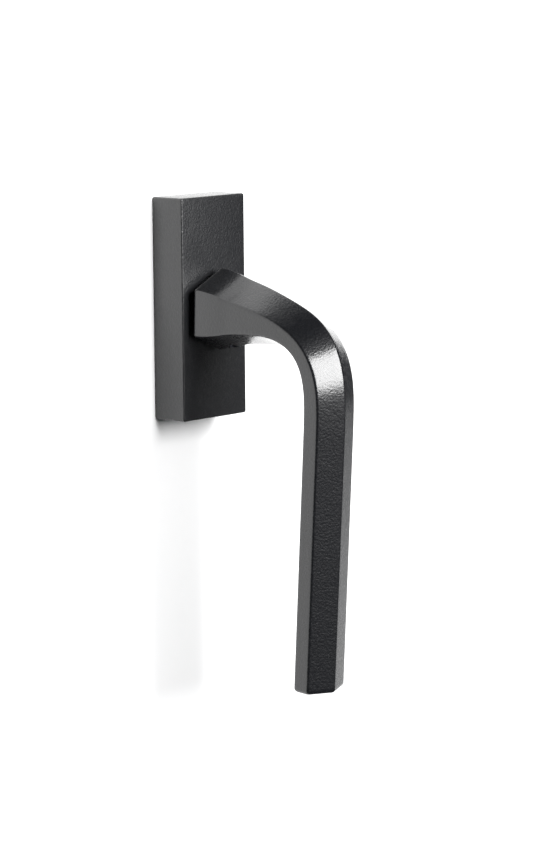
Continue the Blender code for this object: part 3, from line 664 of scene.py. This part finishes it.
def lever_section(place):
    """Half width, half flat and both ridges' rises at a place, on smooth curves through LEVER_SECTIONS."""
    stations = LEVER_SECTIONS
    if place >= stations[-1][0]:
        return stations[-1][1:]
    index = max(i for i, station in enumerate(stations) if station[0] <= place)
    before, start = stations[max(index - 1, 0)], stations[index]
    end, after = stations[index + 1], stations[min(index + 2, len(stations) - 1)]
    span = end[0] - start[0]
    t = (place - start[0]) / span
    sizes = []
    for axis in range(1, len(start)):
        rise_in = (end[axis] - before[axis]) / (end[0] - before[0]) * span
        rise_out = (after[axis] - start[axis]) / (after[0] - start[0]) * span
        if index == 0:
            rise_in = end[axis] - start[axis]
        if index + 2 >= len(stations):
            rise_out = 0.0
        sizes.append(
            start[axis] * (2 * t**3 - 3 * t**2 + 1)
            + rise_in * (t**3 - 2 * t**2 + t)
            + end[axis] * (3 * t**2 - 2 * t**3)
            + rise_out * (t**3 - t**2)
        )
    return sizes


def eased(rule, place):
    """The rule's values averaged over a short stretch each side, so no crease shows where a curve starts."""
    reach = min(EASE_REACH, place, 3 - place)
    values = [rule(place + reach * share) for share in (-1, -2 / 3, -1 / 3, 0, 1 / 3, 2 / 3, 1)]
    weights = (1, 2, 3, 4, 3, 2, 1)
    return [
        sum(weight * value[axis] for weight, value in zip(weights, values)) / sum(weights)
        for axis in range(len(values[0]))
    ]


def lever_places():
    """(place, inset) of each ring: quarter-round ends, and closer rings where the bend is."""
    neck_length = (NECK_END - ROOT).length
    rim = []
    for number in range(RIM_STEPS + 1):
        angle = math.pi / 2 * number / RIM_STEPS
        rim.append((END_EDGE * (1 - math.sin(angle)), END_EDGE * (1 - math.cos(angle))))
    root_end = [(reach / neck_length, inset) for inset, reach in rim]
    grip_end = [(3 - reach / GRIP_LENGTH, inset) for inset, reach in reversed(rim)]
    # the neck's rings start past the root's rounded end
    neck = [(number / NECK_STEPS, 0.0) for number in range(2, NECK_STEPS)]
    bend = [(1 + number / BEND_STEPS, 0.0) for number in range(BEND_STEPS + 1)]
    grip = [(2 + number / GRIP_STEPS, 0.0) for number in range(1, GRIP_STEPS)]
    return root_end + neck + bend + grip + grip_end


def lever():
    """The bar, its collar behind the root, the socket for the spindle and the set screw's hole."""
    shape = bmesh.new()
    rows = []
    for place, inset in lever_places():
        height, up, out, rise = eased(lever_line, place)
        shape.verts.new((0, -height, up))
        half_width, half_flat, top_rise, bottom_rise = eased(lever_section, place)
        row = {"half_width": half_width - inset, "rise_way": (0, rise, out)}
        for side, ridge_rise in (("top", top_rise), ("bottom", bottom_rise)):
            slope = math.atan2(ridge_rise, half_width)
            sign = 1 if side == "top" else -1
            flat = half_flat - inset * (1 - math.sin(slope)) / math.cos(slope)
            row[f"{side}_flat"] = sign * flat
            row[f"{side}_ridge"] = sign * (flat + (half_width - inset) * math.tan(slope))
        rows.append(row)
    bar = mesh_object("lever_path", shape)
    for name in rows[0]:
        vector = name == "rise_way"
        attribute = bar.data.attributes.new(name, "FLOAT_VECTOR" if vector else "FLOAT", "POINT")
        for item, row in zip(attribute.data, rows):
            if vector:
                item.vector = row[name]
            else:
                item.value = row[name]
    grow(bar, hexagonal_bar_tree(), {"Corner Radius": SECTION_EDGE, "Corner Steps": CORNER_STEPS,
                                     "Finish": LEVER_COAT})
    for attribute in [item.name for item in bar.data.attributes if item.name in ("row", *rows[0])]:
        bar.data.attributes.remove(bar.data.attributes[attribute])
    tidy(bar)
    divide_long(bar)
    collar = rod("lever_collar", COLLAR_RADIUS, COLLAR_BACK, ROOT[0] + COLLAR_OVERLAP, WIDE_SIDES)
    combine(bar, "UNION", collar)
    half = SPINDLE_SOCKET / 2
    socket = block("spindle_socket", (-half, COLLAR_BACK - PAST, -half), (half, SOCKET_FRONT, half))
    hole = rod("set_screw_hole", SET_SCREW_HOLE_RADIUS, 0, SET_SCREW_HOLE_LENGTH, HOLE_SIDES,
               axis=(0, 0, -1), centre=(0, -SET_SCREW_HEIGHT, 0))
    combine(bar, "DIFFERENCE", socket, hole)
    piece(tidy(bar), "bar_lever", LEVER_COAT, "handle", "lever_coating", "lever")


# ---------------------------------------------------------------- rosette


def cover():
    """The thin cover: a shell with a round hole for the bush and four snap ribs inside."""
    half_x, half_z = ROSETTE_WIDTH / 2, ROSETTE_HEIGHT / 2
    shell = block("cover", (-half_x, 0, -half_z), (half_x, ROSETTE_DEPTH, half_z), COVER_CORNER, COVER_EDGE)
    wall_x, wall_z = half_x - COVER_WALL, half_z - COVER_WALL
    inside = block("cover_inside", (-wall_x, -PAST, -wall_z), (wall_x, ROSETTE_DEPTH - COVER_WALL, wall_z),
                   corner=COVER_EDGE)
    hole = rod("cover_hole", COVER_HOLE_RADIUS, ROSETTE_DEPTH - COVER_WALL - PAST, ROSETTE_DEPTH + PAST,
               WIDE_SIDES)
    combine(shell, "DIFFERENCE", inside, hole)
    ribs = []
    for x_side in (-1, 1):
        for z_side in (-1, 1):
            x = sorted((x_side * (wall_x - RIB_WIDTH), x_side * (wall_x + COVER_WALL / 2)))
            z = z_side * RIB_PLACE
            ribs.append(block("rib", (x[0], RIB_RISE, z - RIB_LENGTH / 2),
                              (x[1], RIB_RISE + RIB_HEIGHT, z + RIB_LENGTH / 2)))
    combine(shell, "UNION", *ribs)
    piece(tidy(shell), "plain_cover", COVER_COAT, "rosette", "cover_coating", "rosette_cover")


def screw_set(name, tree, places, sizes, *replaced):
    """One piece of equal screws, with a head at each place."""
    points = bmesh.new()
    for place in places:
        points.verts.new(place)
    grown = grow(mesh_object(name, points), tree, {**sizes, "Finish": ZINC_PLATE})
    piece(tidy(grown, THREAD_SMOOTH_UP_TO), name, ZINC_PLATE, "rosette", "plated_steel", *replaced)


def screws():
    """Two fixing screws with an M5 thread and four retainer screws with an M2.5 one."""
    tree = countersunk_screw_tree()
    fixing = [(0, -FIXING_HEAD_HEIGHT, side * SCREW_SPACING / 2) for side in (1, -1)]
    retaining = [(x * RETAINER_X, -RETAINER_HEAD_HEIGHT, z * RETAINER_Z) for x in (-1, 1) for z in (-1, 1)]
    screw_set("fixing_screws", tree, fixing, FIXING_SCREW, "fixing_screw_upper", "fixing_screw_lower")
    screw_set("retainer_screws", tree, retaining, RETAINER_SCREW,
              *[f"retainer_screw_{number}" for number in range(1, 5)])


def carried_over():
    """Finishes of the CAD solids whose shape is already right."""
    finishes = {
        "base_plate": CAST_ZINC,
        "detent_hub": CAST_ZINC,
        "wave_washer": SPRING_STEEL,
        "thrust_washer": WHITE_ACETAL,
        "hub_retaining_plate": ZINC_PLATE,
        "detent_ball_upper": BEARING_STEEL,
        "detent_ball_lower": BEARING_STEEL,
        "detent_spring_upper": SPRING_STEEL,
        "detent_spring_lower": SPRING_STEEL,
        "cover_bush": BLACK_NYLON,
        "spindle": DRAWN_STEEL,
        "spindle_pin": BEARING_STEEL,
        "lever_set_screw": BLACK_OXIDE,
    }
    for name, material in finishes.items():
        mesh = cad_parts[name].data
        mesh.materials.clear()
        mesh.materials.append(material)


lever()
cover()
screws()
carried_over()


# ---------------------------------------------------------------- studio


def sheet(name, bounds, turn, material, opening=None):
    """A flat sheet of paper, moved to its place by turn, with an opening if its bounds are given."""
    left, low, right, high = bounds
    parts = [bounds]
    if opening:
        inner_left, inner_low, inner_right, inner_high = opening
        parts = [(left, low, inner_left, high), (inner_right, low, right, high),
                 (inner_left, low, inner_right, inner_low), (inner_left, inner_high, inner_right, high)]
    shape = bmesh.new()
    for x, z, far_x, far_z in parts:
        corners = ((x, z), (far_x, z), (far_x, far_z), (x, far_z))
        shape.faces.new([shape.verts.new((*corner, 0)) for corner in corners])
    bmesh.ops.remove_doubles(shape, verts=shape.verts, dist=WELD)
    shape.transform(turn)
    obj = mesh_object(name, shape)
    obj.data.materials.append(material)
    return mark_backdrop(obj)


def soft_light(name, power, azimuth, elevation):
    """A square white soft box. Its azimuth is 0 in front of the sash and grows to the right."""
    light = bpy.data.lights.new(name, "AREA")
    light.shape = "SQUARE"
    light.size = SOFT_BOX
    light.energy = power
    obj = bpy.data.objects.new(name, light)
    bpy.context.scene.collection.objects.link(obj)
    turn, rise = math.radians(azimuth), math.radians(elevation)
    way = Vector((math.sin(turn) * math.cos(rise), -math.cos(turn) * math.cos(rise), math.sin(rise)))
    obj.location = Vector(LIGHT_AIM) + way * LIGHT_DISTANCE
    obj.rotation_euler = (-way).to_track_quat("-Z", "Y").to_euler()


def white_paper(name, colour, one_sided):
    """Matt white background paper. A one-sided sheet lets the rear of the handle be seen from behind it."""
    material, tree, shader = finish_material(name, colour, 0.0, 0.9, IOR=1.4)
    # paper fibres of 1 mm
    add_relief(tree, shader, noise(tree, object_space(tree), 1.0 * MM, 2.0), 0.02, 0.01 * MM)
    if one_sided:
        behind = node(tree, "ShaderNodeNewGeometry").outputs["Backfacing"]
        clear = node(tree, "ShaderNodeBsdfTransparent").outputs[0]
        mix = node(tree, "ShaderNodeMixShader", {0: behind, 1: shader.outputs[0], 2: clear})
        tree.links.new(mix.outputs[0], tree.nodes["Material Output"].inputs["Surface"])
    return material


def studio():
    """A white wall behind the rosette, a white floor to the right, two soft boxes and a pale background."""
    face_room = Matrix.Translation((0, WALL_BEHIND_SASH_FACE, 0)) @ Matrix.Rotation(math.radians(90), 4, "X")
    # the rosette covers the wall's opening, which lets light reach the handle's rear
    half_x, half_z = ROSETTE_WIDTH / 2 - COVER_EDGE, ROSETTE_HEIGHT / 2 - COVER_EDGE
    sheet("background", WALL, face_room, white_paper("white_paper_wall", "#f2f2f2", True),
          opening=(-half_x, -half_z, half_x, half_z))
    sheet("floor", FLOOR, Matrix.Translation((0, 0, FLOOR_HEIGHT)),
          white_paper("white_paper_floor", "#e6e6e6", False))
    soft_light("key", KEY_POWER, azimuth=5, elevation=20)
    soft_light("rear", REAR_POWER, azimuth=205, elevation=30)
    world = bpy.data.worlds.new("studio")
    bpy.context.scene.world = world
    world.use_nodes = True
    tree = world.node_tree
    tree.nodes.clear()
    # the background looks white, and lights the handle only a little
    seen = node(tree, "ShaderNodeLightPath").outputs["Is Camera Ray"]
    dim = node(tree, "ShaderNodeBackground", {"Color": linear("#9a9ca0"), "Strength": AMBIENT})
    pale = node(tree, "ShaderNodeBackground", {"Color": linear("#ffffff"), "Strength": 1.0})
    mix = node(tree, "ShaderNodeMixShader", {0: seen, 1: dim.outputs[0], 2: pale.outputs[0]})
    node(tree, "ShaderNodeOutputWorld", {"Surface": mix.outputs[0]})
    bpy.context.scene.view_settings.view_transform = "Standard"


def camera():
    """The view from the left front, slightly above, with a long lens."""
    back = Vector((math.sin(VIEW_AZIMUTH) * math.cos(VIEW_ELEVATION),
                   -math.cos(VIEW_AZIMUTH) * math.cos(VIEW_ELEVATION), math.sin(VIEW_ELEVATION)))
    level = (-back).cross(Vector((0, 0, 1))).normalized()
    upright = level.cross(-back)
    right = level * math.cos(VIEW_ROLL) + upright * math.sin(VIEW_ROLL)
    up = upright * math.cos(VIEW_ROLL) - level * math.sin(VIEW_ROLL)
    target = (right * AIM_RIGHT - up * AIM_BELOW) * MM
    lens = bpy.data.cameras.new("camera")
    lens.sensor_width = SENSOR_WIDTH
    lens.lens = FOCAL_LENGTH
    lens.clip_start = 0.01
    lens.clip_end = 20.0
    obj = bpy.data.objects.new("camera", lens)
    bpy.context.scene.collection.objects.link(obj)
    turn = Matrix((right, up, back)).transposed().to_4x4()
    obj.matrix_world = Matrix.Translation(target + back * VIEW_DISTANCE) @ turn
    bpy.context.scene.camera = obj


studio()
camera()
